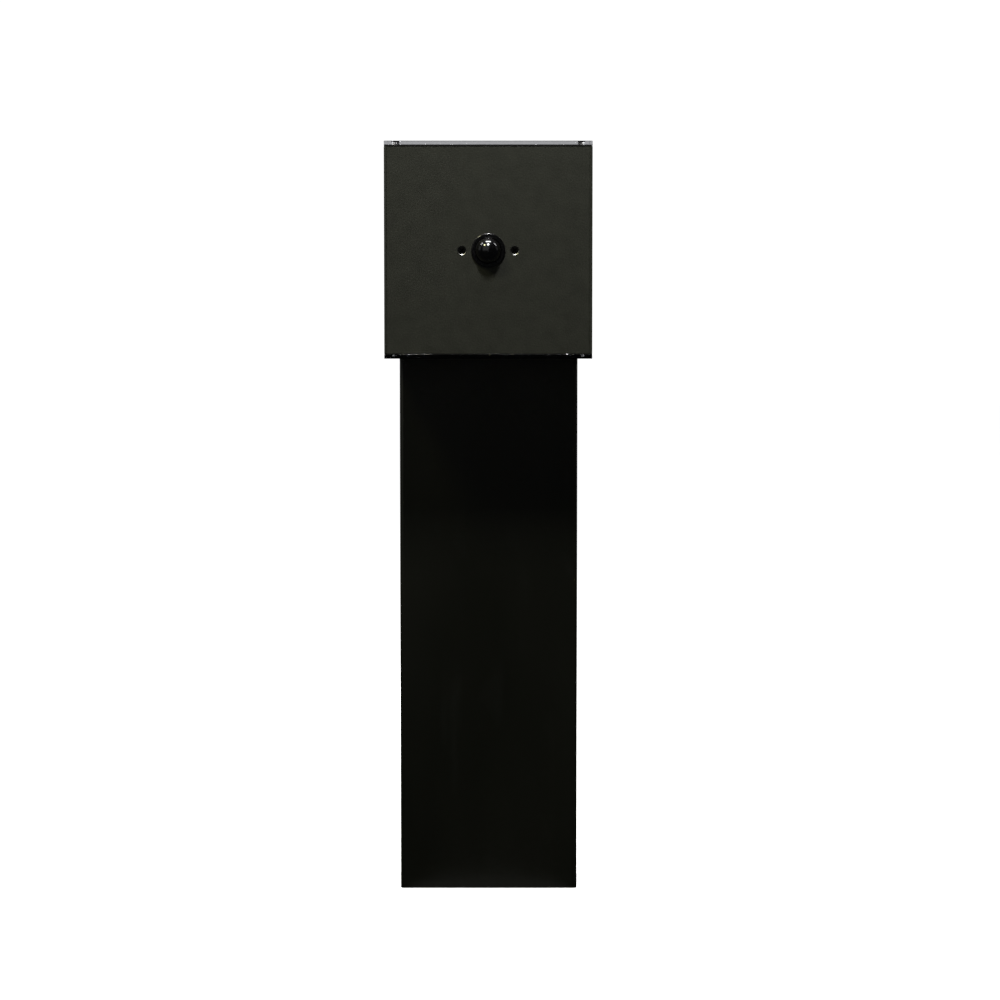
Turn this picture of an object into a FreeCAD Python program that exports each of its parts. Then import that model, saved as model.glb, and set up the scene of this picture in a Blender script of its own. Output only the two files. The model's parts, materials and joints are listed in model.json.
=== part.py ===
import FreeCAD, Part
import Sketcher
import math
import os
import re

# Solar bollard light: a square head cantilevered forward over a narrower rectangular post.
# Millimetres. +Z up, front towards -Y, origin at the centre of the post's foot on the ground.

DOC = FreeCAD.newDocument("bollard_light")
NODES = []

# ---------------------------------------------------------------- driving dimensions
SIZES = {
    # head casing
    "head_width": 250,
    "head_depth": 250,
    "shell_height": 248,
    "shell_wall": 3,
    "bend_radius": 5,
    "return_flange": 15,
    "front_overhang": 130,
    "front_plate_thickness": 3,
    "seam_gap": 0.3,
    "corner_post_size": 18,
    "rail_width": 16,
    "rail_height": 16,
    "stud_diameter": 5,
    "stud_rise": 40,
    "hole_clearance": 0.6,
    "vent_diameter": 12,
    "vent_cap_diameter": 17,
    "vent_cap_height": 4,
    "vent_inset": 40,
    # solar top
    "cover_thickness": 5,
    "cover_gasket_thickness": 2,
    "gasket_inset": 0.2,
    "tray_sheet": 2,
    "tray_recess": 8,
    "panel_gap": 2,
    "panel_thickness": 3,
    "cell_thickness": 0.4,
    "cell_gap": 1.6,
    "panel_margin": 5,
    "panel_tail": 12,
    "panel_lead_x": 12,
    "panel_lead_inset": 18,
    "panel_lead_hole": 6,
    "junction_width": 68,
    "junction_depth": 24,
    "junction_height": 14,
    "screw_diameter": 4,
    "screw_head_diameter": 8,
    "screw_length": 18,
    # underside
    "base_plate_thickness": 6,
    "base_plate_lead": 9,
    "lens_thickness": 5,
    "lens_gasket_thickness": 1,
    "lens_screw_inset": 10,
    "sink_plate": 4,
    "fin_height": 18,
    "fin_thickness": 2,
    "sink_gap": 2,
    "sink_screw_inset": 14,
    "board_width": 196,
    "board_depth": 72,
    "board_thickness": 1.6,
    "chip_size": 3.5,
    "chip_thickness": 0.8,
    "optic_diameter": 13,
    "optic_height": 7,
    "board_screw_diameter": 3,
    "board_screw_inset": 5,
    # motion sensor
    "collar_diameter": 41,
    "collar_height": 2.4,
    "barrel_diameter": 34,
    "barrel_length": 16,
    "dome_diameter": 31,
    "dome_reach": 18.5,
    "dome_wall": 1.4,
    "barrel_wall": 3,
    "sensor_screw_spacing": 63.4,
    "sensor_screw_diameter": 5,
    "sensor_screw_head": 10.2,
    "bracket_sheet": 2,
    "bracket_height": 28,
    "bracket_end": 10,
    "spacer_diameter": 9,
    "seal_thickness": 1,
    "lock_ring_width": 5,
    "detector_diameter": 9.2,
    "detector_height": 5,
    # electrics
    "controller_width": 110,
    "controller_depth": 26,
    "controller_height": 64,
    "controller_drop": 20,
    "controller_ear": 12,
    "controller_ear_sheet": 3,
    "battery_width": 150,
    "battery_depth": 66,
    "battery_height": 100,
    "battery_drop": 150,
    "battery_tray_sheet": 3,
    "battery_tray_lip": 14,
    "battery_tray_head": 12,
    "strap_sheet": 1.5,
    "strap_width": 25,
    "cable_diameter": 5,
    "cable_hole_diameter": 26,
    "grommet_brim": 3,
    # post and base
    "post_width": 220,
    "post_depth": 102,
    "post_height": 670,
    "post_wall": 3,
    "post_corner_radius": 4,
    "neck_gasket_thickness": 1,
    "top_flange_thickness": 8,
    "head_bolt_diameter": 8,
    "head_bolt_spacing_x": 160,
    "head_bolt_spacing_y": 56,
    "washer_thickness": 1.6,
    "anchor_plate_thickness": 10,
    "anchor_tab_height": 70,
    "anchor_tab_width": 60,
    "anchor_tab_thickness": 8,
    "anchor_spacing_x": 150,
    "anchor_spacing_y": 50,
    "anchor_hole_diameter": 14,
    "post_screw_diameter": 6,
    "post_screw_head": 11,
    "post_screw_rise": 45,
    "post_screw_spacing": 30,
}

# ---------------------------------------------------------------- places worked out from them
PLACES = {
    "base_plate_bottom": "post_height + neck_gasket_thickness",
    "shell_bottom": "base_plate_bottom + base_plate_thickness",
    "shell_top": "shell_bottom + shell_height",
    "cover_bottom": "shell_top + cover_gasket_thickness",
    "cover_top": "cover_bottom + cover_thickness",
    "head_front": "-post_depth / 2 - front_overhang",
    "head_back": "head_front + head_depth",
    "head_middle": "head_front + head_depth / 2",
    "head_side": "head_width / 2",
    "inner_side": "head_side - shell_wall",
    "inner_back": "head_back - shell_wall",
    "plate_back": "head_front + front_plate_thickness",
    "flange_back": "plate_back + shell_wall",
    "corner_x": "inner_side - corner_post_size / 2",
    "front_corner_y": "flange_back + corner_post_size / 2",
    "rear_corner_y": "inner_back - corner_post_size / 2",
    "rail_front": "flange_back + corner_post_size",
    "rail_back": "inner_back - corner_post_size",
    "rail_x": "inner_side - rail_width / 2",
    "rail_top": "shell_bottom + rail_height",
    "base_plate_front": "-post_depth / 2 - base_plate_lead",
    "lens_back": "base_plate_front - seam_gap",
    "lens_top": "shell_bottom - lens_gasket_thickness",
    "lens_bottom": "lens_top - lens_thickness",
    "lens_screw_back": "lens_back - lens_screw_inset",
    "lens_window_back": "lens_screw_back - screw_diameter",
    "window_side": "inner_side - corner_post_size",
    "vent_x": "corner_x - vent_inset",
    "vent_z": "shell_bottom + vent_inset",
    "tray_rim_bottom": "shell_top - tray_sheet",
    "tray_floor": "shell_top - tray_recess",
    "tray_side": "inner_side - corner_post_size - seam_gap - tray_sheet",
    "tray_front": "rail_front + seam_gap + tray_sheet",
    "tray_back": "rail_back - seam_gap - tray_sheet",
    "panel_side": "tray_side - panel_gap",
    "panel_front": "tray_front + panel_gap",
    "panel_back": "tray_back - panel_gap",
    "panel_top": "tray_floor + panel_thickness",
    "panel_lead_y": "rail_back - panel_lead_inset",
    "junction_top": "tray_floor - tray_sheet",
    "junction_bottom": "junction_top - junction_height",
    "sensor_z": "shell_bottom + shell_height / 2",
    "neck_diameter": "barrel_diameter - 2 * barrel_wall",
    "collar_front": "head_front - collar_height",
    "barrel_back": "collar_front + barrel_length",
    "dome_centre_y": "head_front - dome_reach + dome_diameter / 2",
    "detector_seat": "dome_centre_y + barrel_length / 2",
    "bracket_front": "barrel_back",
    "sink_bottom": "rail_top",
    "sink_top": "sink_bottom + sink_plate",
    "sink_back": "lens_back - sink_gap",
    "board_middle_y": "(rail_front + sink_back) / 2",
    "board_bottom": "sink_bottom - board_thickness",
    "chip_bottom": "board_bottom - chip_thickness",
    "led_lead_x": "-(board_width - 24) * 3 / 16",
    "controller_front": "inner_back - controller_depth",
    "controller_bottom": "sensor_z - controller_drop",
    "controller_top": "controller_bottom + controller_height",
    "post_inner_back": "post_depth / 2 - post_wall",
    "post_inner_side": "post_width / 2 - post_wall",
    "top_flange_bottom": "post_height - top_flange_thickness",
    "battery_top": "post_height - battery_drop",
    "battery_floor": "battery_top - battery_height",
    "battery_back": "post_inner_back - battery_tray_sheet",
    "battery_front": "battery_back - battery_depth",
    "tray_screw_x": "battery_width / 2 - battery_tray_head",
    "tray_screw_z": "battery_top + battery_tray_head / 2",
}


def make_sheets():
    """Writes the driving numbers to one sheet and the worked-out places to another."""
    sizes = DOC.addObject("Spreadsheet::Sheet", "sizes")
    for row, (alias, value) in enumerate(SIZES.items(), start=1):
        sizes.set(f"A{row}", alias)
        sizes.set(f"B{row}", str(value))
        sizes.setAlias(f"B{row}", alias)
    places = DOC.addObject("Spreadsheet::Sheet", "places")
    for row, (alias, formula) in enumerate(PLACES.items(), start=1):
        places.set(f"A{row}", alias)
        places.set(f"B{row}", "=" + in_sheets(formula, own_sheet="places"))
        places.setAlias(f"B{row}", alias)
    DOC.recompute()
    return sizes, places


def in_sheets(formula, own_sheet=None):
    """Turns plain names in a formula into cell references, such as sizes.head_width."""
    def reference(match):
        name = match.group()
        if name in SIZES:
            return "sizes." + name
        if name in PLACES:
            return name if own_sheet == "places" else "places." + name
        return name
    return re.sub(r"[a-z][a-z_]*", reference, str(formula))


def bind(feature, prop, formula):
    feature.setExpression(prop, in_sheets(formula))


def value(name):
    """The current number of a named size or place, for shapes made in code."""
    return float(SIZE_SHEET.get(name)) if name in SIZES else float(PLACE_SHEET.get(name))


def node(feature, name):
    """Names a finished sub-part: its label names its file."""
    feature.Label = name
    NODES.append(feature)
    return feature


# ---------------------------------------------------------------- Part primitives and booleans
def block(name, x, y, z):
    """A box from the low to the high formula along each axis."""
    box = DOC.addObject("Part::Box", name)
    for prop, axis, (low, high) in zip(("Length", "Width", "Height"), "xyz", (x, y, z)):
        bind(box, prop, f"({high}) - ({low})")
        bind(box, "Placement.Base." + axis, low)
    return box


AXIS_TURNS = {
    "up": FreeCAD.Rotation(),
    "down": FreeCAD.Rotation(FreeCAD.Vector(1, 0, 0), 180),
    "front": FreeCAD.Rotation(FreeCAD.Vector(1, 0, 0), 90),
    "back": FreeCAD.Rotation(FreeCAD.Vector(1, 0, 0), -90),
    "right": FreeCAD.Rotation(FreeCAD.Vector(0, 1, 0), 90),
    "left": FreeCAD.Rotation(FreeCAD.Vector(0, 1, 0), -90),
}


def put(feature, x, y, z, way="up"):
    """Places a feature modelled along its own +Z so that it points the given way."""
    feature.Placement = FreeCAD.Placement(FreeCAD.Vector(), AXIS_TURNS[way])
    for axis, formula in zip("xyz", (x, y, z)):
        bind(feature, "Placement.Base." + axis, formula)
    return feature


def rod(name, diameter, length, x=0, y=0, z=0, way="up"):
    cylinder = DOC.addObject("Part::Cylinder", name)
    bind(cylinder, "Radius", f"({diameter}) / 2")
    bind(cylinder, "Height", length)
    return put(cylinder, x, y, z, way)


def cone(name, low_diameter, high_diameter, length, x=0, y=0, z=0, way="up"):
    feature = DOC.addObject("Part::Cone", name)
    bind(feature, "Radius1", f"({low_diameter}) / 2")
    bind(feature, "Radius2", f"({high_diameter}) / 2")
    bind(feature, "Height", length)
    return put(feature, x, y, z, way)


def fuse(name, pieces):
    if len(pieces) == 1:
        return pieces[0]
    feature = DOC.addObject("Part::MultiFuse", name)
    feature.Shapes = pieces
    feature.Refine = True
    return feature


def cut(name, base, tools):
    feature = DOC.addObject("Part::Cut", name)
    feature.Base = base
    feature.Tool = fuse(name + "_tools", tools)
    return feature


def group(name, pieces):
    """Identical pieces that share one node, each a separate solid."""
    feature = DOC.addObject("Part::Compound", name)
    feature.Links = pieces
    return node(feature, name)


def round_edges(name, base, radius, wanted):
    """Fillets the edges of base that the test picks."""
    DOC.recompute()
    feature = DOC.addObject("Part::Fillet", name)
    feature.Base = base
    numbers = [i for i, edge in enumerate(base.Shape.Edges, start=1) if wanted(edge)]
    feature.Edges = [(number, radius, radius) for number in numbers]
    return feature


# ---------------------------------------------------------------- sketched bodies
def new_body(name):
    return DOC.addObject("PartDesign::Body", name)


def new_sketch(body, plane, offset):
    """A sketch on one of the body's own origin planes, moved along its normal."""
    sketch = body.newObject("Sketcher::SketchObject", body.Name + "_sketch")
    support = next(f for f in body.Origin.OriginFeatures if f.Role == plane)
    sketch.AttachmentSupport = [(support, "")]
    sketch.MapMode = "FlatFace"
    bind(sketch, "AttachmentOffset.Base.z", offset)
    return sketch


def tie(sketch, constraint, formula):
    """Adds a dimension and binds it to the sheets."""
    index = sketch.addConstraint(constraint)
    label = f"size_{index}"
    sketch.renameConstraint(index, label)
    bind(sketch, "Constraints." + label, formula)


def draw_rectangle(sketch, width, height, x="0", y="0"):
    """A rectangle centred on (x, y), held by its size and its lower-left corner."""
    corners = [FreeCAD.Vector(*corner) for corner in ((-9, -9), (9, -9), (9, 9), (-9, 9))]
    first = sketch.GeometryCount
    for start, end in zip(corners, corners[1:] + corners[:1]):
        sketch.addGeometry(Part.LineSegment(start, end), False)
    for side in range(4):
        sketch.addConstraint(Sketcher.Constraint("Coincident", first + side, 2, first + (side + 1) % 4, 1))
    for side, kind in enumerate(("Horizontal", "Vertical", "Horizontal", "Vertical")):
        sketch.addConstraint(Sketcher.Constraint(kind, first + side))
    tie(sketch, Sketcher.Constraint("DistanceX", first, 1, first, 2, 18), width)
    tie(sketch, Sketcher.Constraint("DistanceY", first + 1, 1, first + 1, 2, 18), height)
    tie(sketch, Sketcher.Constraint("DistanceX", -1, 1, first, 1, -9), f"({x}) - ({width}) / 2")
    tie(sketch, Sketcher.Constraint("DistanceY", -1, 1, first, 1, -9), f"({y}) - ({height}) / 2")


def draw_circle(sketch, diameter, x, y):
    index = sketch.GeometryCount
    sketch.addGeometry(Part.Circle(FreeCAD.Vector(9, 9), FreeCAD.Vector(0, 0, 1), 5), False)
    tie(sketch, Sketcher.Constraint("Diameter", index, 10), diameter)
    tie(sketch, Sketcher.Constraint("DistanceX", -1, 1, index, 3, 9), x)
    tie(sketch, Sketcher.Constraint("DistanceY", -1, 1, index, 3, 9), y)


def pad(body, sketch, length):
    feature = body.newObject("PartDesign::Pad", body.Name + "_pad")
    feature.Profile = sketch
    bind(feature, "Length", length)
    return feature


def pocket(body, sketch, depth=None):
    """Cuts back from the sketch, against its normal: to a depth, or right through."""
    DOC.recompute()
    before = body.Shape.Volume
    feature = body.newObject("PartDesign::Pocket", body.Name + "_pocket")
    feature.Profile = sketch
    if depth is None:
        feature.Type = "ThroughAll"
    else:
        bind(feature, "Length", depth)
    DOC.recompute()
    if body.Shape.Volume >= before:
        raise RuntimeError(body.Name + ": a pocket removed nothing")
    return feature


def fillet(body, radius, wanted):
    """Rounds the edges of the body's last feature that the test picks."""
    DOC.recompute()
    last = body.Tip
    names = [f"Edge{i}" for i, edge in enumerate(last.Shape.Edges, start=1) if wanted(edge)]
    feature = body.newObject("PartDesign::Fillet", body.Name + "_fillet")
    feature.Base = (last, names)
    bind(feature, "Radius", radius)
    return feature


def is_upright(edge):
    """True for an edge that runs along Z."""
    low, high = edge.BoundBox.ZMin, edge.BoundBox.ZMax
    return edge.BoundBox.XLength < 0.01 and edge.BoundBox.YLength < 0.01 and high > low


def flat_plate(name, width, depth, thickness, bottom, y="0", windows=(), holes=()):
    """A level plate: a padded rectangle with rectangular windows and round holes."""
    body = new_body(name)
    outline = new_sketch(body, "XY_Plane", bottom)
    draw_rectangle(outline, width, depth, "0", y)
    pad(body, outline, thickness)
    if windows or holes:
        openings = new_sketch(body, "XY_Plane", f"({bottom}) + ({thickness})")
        for window in windows:
            draw_rectangle(openings, *window)
        for hole in holes:
            draw_circle(openings, *hole)
        pocket(body, openings)
    return body


# ---------------------------------------------------------------- fasteners
def countersunk_screw(name, diameter, head, length, x, y, z, way):
    """A countersunk screw with a cross recess, its head's face at the given point."""
    sink = cone(name + "_sink", head, diameter, f"({head}) / 4")
    shank = rod(name + "_shank", diameter, length)
    whole = fuse(name + "_solid", [sink, shank])
    return put(cut(name, whole, cross_recess(name, head)), x, y, z, way)


def cross_recess(name, head):
    """Two crossed slots, turned to stand like an X."""
    slots = []
    for index, angle in enumerate((45, 135)):
        slot = DOC.addObject("Part::Box", f"{name}_slot_{index}")
        bind(slot, "Length", f"({head}) * 0.62")
        bind(slot, "Width", f"({head}) * 0.13")
        bind(slot, "Height", f"({head}) * 0.2")
        turn = FreeCAD.Rotation(FreeCAD.Vector(0, 0, 1), angle)
        middle = turn.multVec(FreeCAD.Vector(-0.31, -0.065, 0))
        slot.Placement = FreeCAD.Placement(FreeCAD.Vector(), turn)
        bind(slot, "Placement.Base.x", f"({head}) * {middle.x:.6f}")
        bind(slot, "Placement.Base.y", f"({head}) * {middle.y:.6f}")
        slots.append(slot)
    return slots


def hex_socket(name, diameter):
    socket = DOC.addObject("Part::Prism", name + "_socket")
    socket.Polygon = 6
    bind(socket, "Circumradius", f"({diameter}) * 0.34")
    bind(socket, "Height", f"({diameter}) * 0.45")
    return socket


def button_screw(name, diameter, length, x, y, z, way):
    """A button-head screw. Its shank runs the given way from the seat; the head stands behind."""
    head = cone(name + "_head", f"({diameter}) * 1.2", f"({diameter}) * 1.9", f"({diameter}) * 0.5",
               z=f"-({diameter}) * 0.5")
    shank = rod(name + "_shank", diameter, length)
    socket = hex_socket(name, diameter)
    bind(socket, "Placement.Base.z", f"-({diameter}) * 0.5")
    bind(socket, "Height", f"({diameter}) * 0.35")
    whole = fuse(name + "_solid", [head, shank])
    return put(cut(name, whole, [socket]), x, y, z, way)


def hex_bolt(name, diameter, length, x, y, z):
    """A hexagon-head bolt that points down, seated at the given point."""
    head = DOC.addObject("Part::Prism", name + "_head")
    head.Polygon = 6
    bind(head, "Circumradius", f"({diameter}) * 0.93")
    bind(head, "Height", f"({diameter}) * 0.66")
    bind(head, "Placement.Base.z", f"-({diameter}) * 0.66")
    shank = rod(name + "_shank", diameter, length)
    return put(fuse(name, [head, shank]), x, y, z, "down")


def ring(name, outer, inner, length, x, y, z, way="up"):
    """A washer, spacer or collar: a disc with a hole through it."""
    disc = rod(name + "_disc", outer, length)
    bore = rod(name + "_bore", inner, f"({length}) + 2", z="-1")
    return put(cut(name, disc, [bore]), x, y, z, way)


def hex_nut(name, diameter, x, y, z, way):
    blank = DOC.addObject("Part::Prism", name + "_blank")
    blank.Polygon = 6
    bind(blank, "Circumradius", f"({diameter}) * 0.92")
    bind(blank, "Height", f"({diameter}) * 0.8")
    bore = rod(name + "_bore", diameter, f"({diameter}) + 2", z="-1")
    return put(cut(name, blank, [bore]), x, y, z, way)


# how many of each repeated piece
CELLS_PER_SIDE = 6
FIN_COUNT = 9
CHIP_COLUMNS = 8
CHIP_ROWS = 3

SIDES = {"left": "-", "right": ""}
CORNERS = {
    "front_left": ("-corner_x", "front_corner_y"),
    "front_right": ("corner_x", "front_corner_y"),
    "rear_left": ("-corner_x", "rear_corner_y"),
    "rear_right": ("corner_x", "rear_corner_y"),
}


# ---------------------------------------------------------------- head casing
def stud_places():
    for side in SIDES.values():
        for z in ("shell_bottom + stud_rise", "shell_top - stud_rise"):
            yield side + "corner_x", z


def make_head_shell():
    """Sheet folded round the sides and back, with return flanges behind the front plate."""
    body = new_body("shell_body")
    outline = new_sketch(body, "XY_Plane", "shell_bottom")
    draw_rectangle(outline, "head_width", "head_depth", "0", "head_middle")
    pad(body, outline, "shell_height")
    fillet(body, "bend_radius", lambda e: is_upright(e) and e.BoundBox.YMin > value("head_middle"))
    inside = new_sketch(body, "XY_Plane", "shell_top")
    draw_rectangle(inside, "2 * inner_side", "inner_back - flange_back", "0",
                   "(inner_back + flange_back) / 2")
    pocket(body, inside)
    mouth = new_sketch(body, "XY_Plane", "shell_top")
    draw_rectangle(mouth, "2 * inner_side", "front_plate_thickness + 2", "0",
                   "plate_back - front_plate_thickness / 2 - 1")
    pocket(body, mouth)
    window = new_sketch(body, "XY_Plane", "shell_top")
    draw_rectangle(window, "2 * (inner_side - return_flange)", "shell_wall + 2", "0",
                   "flange_back - shell_wall / 2")
    pocket(body, window)
    holes = [rod("shell_stud_hole", "stud_diameter + hole_clearance", "shell_wall + 4",
                 x, "flange_back + 2", z, "front") for x, z in stud_places()]
    vent = rod("shell_vent_hole", "vent_diameter + seam_gap", "shell_wall + 4", "vent_x", "inner_back - 2",
               "vent_z", "back")
    node(cut("shell", body, holes + [vent]), "head_shell")


def make_front_plate():
    """The textured front panel, with pressed-in studs at its back."""
    body = new_body("front_plate_body")
    outline = new_sketch(body, "XZ_Plane", "-plate_back")
    draw_rectangle(outline, "2 * (inner_side - seam_gap)", "shell_height - 2 * seam_gap", "0", "sensor_z")
    pad(body, outline, "front_plate_thickness")
    openings = new_sketch(body, "XZ_Plane", "-head_front")
    draw_circle(openings, "barrel_diameter + seam_gap", "0", "sensor_z")
    for x in sensor_screw_places():
        draw_circle(openings, "sensor_screw_diameter + hole_clearance", x, "sensor_z")
    pocket(body, openings)
    sinks = [cone("plate_sink", "sensor_screw_head + 0.4", "sensor_screw_diameter",
                  "sensor_screw_head / 4 + 0.1", x, "head_front", "sensor_z", "back")
             for x in sensor_screw_places()]
    plate = cut("front_plate_cut", body, sinks)
    studs = [rod("plate_stud", "stud_diameter", "shell_wall + corner_post_size + stud_diameter + 2",
                 x, "plate_back", z, "back") for x, z in stud_places()]
    node(fuse("front_plate_solid", [plate] + studs), "front_plate")
    nuts = [hex_nut("plate_nut", "stud_diameter", x, "rail_front", z, "back") for x, z in stud_places()]
    group("front_plate_nuts", nuts)


def make_corner_posts():
    """Four square bars that carry the cover and the underside; the front pair pass the studs."""
    half = "corner_post_size / 2"
    for corner, (x, y) in CORNERS.items():
        bar = block(corner + "_bar", (f"{x} - {half}", f"{x} + {half}"), (f"{y} - {half}", f"{y} + {half}"),
                    ("shell_bottom", "tray_rim_bottom"))
        tapped = [rod(corner + "_top_hole", "screw_diameter", "screw_length", x, y, "tray_rim_bottom", "down"),
                  rod(corner + "_low_hole", "screw_diameter", "screw_length", x, y, "shell_bottom", "up")]
        if corner.startswith("front"):
            tapped += [rod(corner + "_stud_hole", "stud_diameter + hole_clearance", "corner_post_size + 4",
                           sx, "flange_back - 2", sz, "back")
                       for sx, sz in stud_places() if sx == x]
        node(cut(corner + "_drilled", bar, tapped), corner + "_corner_post")


def rail_screw_places(sign):
    """Screws that rise into one side rail: the lens's rear one, then the base plate's two."""
    yield sign + "rail_x", "lens_screw_back"
    yield sign + "rail_x", "base_plate_front + lens_screw_inset"
    yield sign + "rail_x", "rail_back - corner_post_size"


def make_side_rails():
    for side, sign in SIDES.items():
        bar = block(side + "_rail_bar", (f"{sign}rail_x - rail_width / 2", f"{sign}rail_x + rail_width / 2"),
                    ("rail_front", "rail_back"), ("shell_bottom", "rail_top"))
        holes = [rod(side + "_rail_hole", "screw_diameter", "screw_length - 6", x, y, "shell_bottom", "up")
                 for x, y in rail_screw_places(sign)]
        holes += [rod(side + "_rail_sink_hole", "screw_diameter", "rail_height / 2", f"{sign}rail_x", y,
                      "rail_top", "down") for y in sink_screw_rows()]
        node(cut(side + "_rail_drilled", bar, holes), side + "_side_rail")


def head_bolt_places():
    for x in ("-head_bolt_spacing_x / 2", "head_bolt_spacing_x / 2"):
        for y in ("-head_bolt_spacing_y / 2", "head_bolt_spacing_y / 2"):
            yield x, y


def base_screw_places():
    for sign in SIDES.values():
        rail_rows = list(rail_screw_places(sign))[1:]
        yield from rail_rows
        yield sign + "corner_x", "rear_corner_y"


def make_base_plate():
    """The thick rear half of the head's floor, which bolts down onto the post."""
    holes = [("head_bolt_diameter + hole_clearance", x, y) for x, y in head_bolt_places()]
    holes.append(("cable_hole_diameter", "0", "0"))
    holes += [("screw_diameter + hole_clearance", x, y) for x, y in base_screw_places()]
    plate = flat_plate("base_plate_body", "head_width", "head_back - base_plate_front", "base_plate_thickness",
                       "base_plate_bottom", "(head_back + base_plate_front) / 2", holes=holes)
    sinks = [cone("base_sink", "screw_head_diameter + 0.4", "screw_diameter", "screw_head_diameter / 4 + 0.1",
                  x, y, "base_plate_bottom", "up") for x, y in base_screw_places()]
    node(cut("base_plate_cut", plate, sinks), "head_base_plate")
    screws = [countersunk_screw("base_screw", "screw_diameter", "screw_head_diameter", "screw_length",
                                x, y, "base_plate_bottom", "up") for x, y in base_screw_places()]
    group("head_base_screws", screws)


def make_vent_plug():
    """A breather pressed through the back wall, with a low tapered cap outside."""
    barrel = rod("vent_barrel", "vent_diameter", "shell_wall + 8", "vent_x", "head_back", "vent_z", "front")
    cap = cone("vent_cap", "vent_cap_diameter", "vent_cap_diameter - 2", "vent_cap_height",
               "vent_x", "head_back", "vent_z", "back")
    node(fuse("vent_solid", [barrel, cap]), "vent_plug")


# ---------------------------------------------------------------- solar top
def make_top_cover():
    """Clear plate over the solar panel, screwed down at its corners."""
    holes = [("screw_diameter + hole_clearance", x, y) for x, y in CORNERS.values()]
    plate = flat_plate("cover_body", "head_width", "head_depth", "cover_thickness", "cover_bottom",
                       "head_middle", holes=holes)
    sinks = [cone("cover_sink", "screw_head_diameter + 0.4", "screw_diameter", "screw_head_diameter / 4 + 0.1",
                  x, y, "cover_top", "down") for x, y in CORNERS.values()]
    node(cut("cover_cut", plate, sinks), "top_cover")
    screws = [countersunk_screw("cover_screw", "screw_diameter", "screw_head_diameter", "screw_length + 4",
                                x, y, "cover_top", "down") for x, y in CORNERS.values()]
    group("top_cover_screws", screws)
    seal_holes = [("screw_diameter + hole_clearance", x, y) for x, y in CORNERS.values()]
    window = ("2 * window_side", "rail_back - rail_front", "0", "(rail_back + rail_front) / 2")
    gasket = flat_plate("gasket_body", "head_width - 2 * gasket_inset", "head_depth - 2 * gasket_inset",
                        "cover_gasket_thickness", "shell_top", "head_middle", [window], seal_holes)
    node(gasket, "top_gasket")


def make_solar_tray():
    """A pressed tray: a rim under the gasket and a sunken floor that holds the panel."""
    body = new_body("tray_body")
    rim = new_sketch(body, "XY_Plane", "tray_rim_bottom")
    depth = "inner_back - plate_back - 2 * seam_gap"
    draw_rectangle(rim, "2 * (inner_side - return_flange)", depth, "0", "(inner_back + plate_back) / 2")
    pad(body, rim, "tray_sheet")
    ears = new_sketch(body, "XY_Plane", "tray_rim_bottom")
    draw_rectangle(ears, "2 * (inner_side - seam_gap)", "inner_back - flange_back - 2 * seam_gap", "0",
                   "(inner_back + flange_back) / 2")
    pad(body, ears, "tray_sheet")
    pan = new_sketch(body, "XY_Plane", "tray_floor - tray_sheet")
    draw_rectangle(pan, "2 * (tray_side + tray_sheet)", "tray_back - tray_front + 2 * tray_sheet", "0",
                   "(tray_back + tray_front) / 2")
    pad(body, pan, "tray_recess")
    hollow = new_sketch(body, "XY_Plane", "shell_top")
    draw_rectangle(hollow, "2 * tray_side", "tray_back - tray_front", "0", "(tray_back + tray_front) / 2")
    pocket(body, hollow, "tray_recess")
    screw_holes = new_sketch(body, "XY_Plane", "shell_top")
    for x, y in CORNERS.values():
        draw_circle(screw_holes, "screw_diameter + hole_clearance", x, y)
    draw_circle(screw_holes, "panel_lead_hole", "panel_lead_x", "panel_lead_y")
    pocket(body, screw_holes)
    node(body, "solar_tray")


def make_solar_panel():
    """Laminate board in the tray, and a six by six field of square cells bonded on it."""
    board = block("panel_board", ("-panel_side", "panel_side"), ("panel_front", "panel_back"),
                  ("tray_floor", "panel_top"))
    lead_hole = rod("panel_drill", "panel_lead_hole", "panel_thickness + 4", "panel_lead_x", "panel_lead_y",
                    "tray_floor - 2")
    node(cut("panel_drilled", board, [lead_hole]), "solar_panel")
    cells = []
    pitch_x = f"(2 * (panel_side - panel_margin) + cell_gap) / {CELLS_PER_SIDE}"
    pitch_y = f"(panel_back - panel_front - 2 * panel_margin - panel_tail + cell_gap) / {CELLS_PER_SIDE}"
    for column in range(CELLS_PER_SIDE):
        for row in range(CELLS_PER_SIDE):
            x = f"-panel_side + panel_margin + {column} * {pitch_x}"
            y = f"panel_front + panel_margin + {row} * {pitch_y}"
            cells.append(block("cell", (x, f"{x} + {pitch_x} - cell_gap"), (y, f"{y} + {pitch_y} - cell_gap"),
                               ("panel_top", "panel_top + cell_thickness")))
    group("solar_cells", cells)
    case = block("junction_case", ("panel_lead_x - junction_width / 2", "panel_lead_x + junction_width / 2"),
                 ("panel_lead_y - junction_depth / 2", "panel_lead_y + junction_depth / 2"),
                 ("junction_bottom", "junction_top"))
    node(round_edges("junction_rounded", case, 2, is_upright), "solar_junction_box")


# ---------------------------------------------------------------- light engine
def lens_screw_places():
    for sign in SIDES.values():
        yield sign + "corner_x", "front_corner_y"
        yield next(rail_screw_places(sign))


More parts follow.
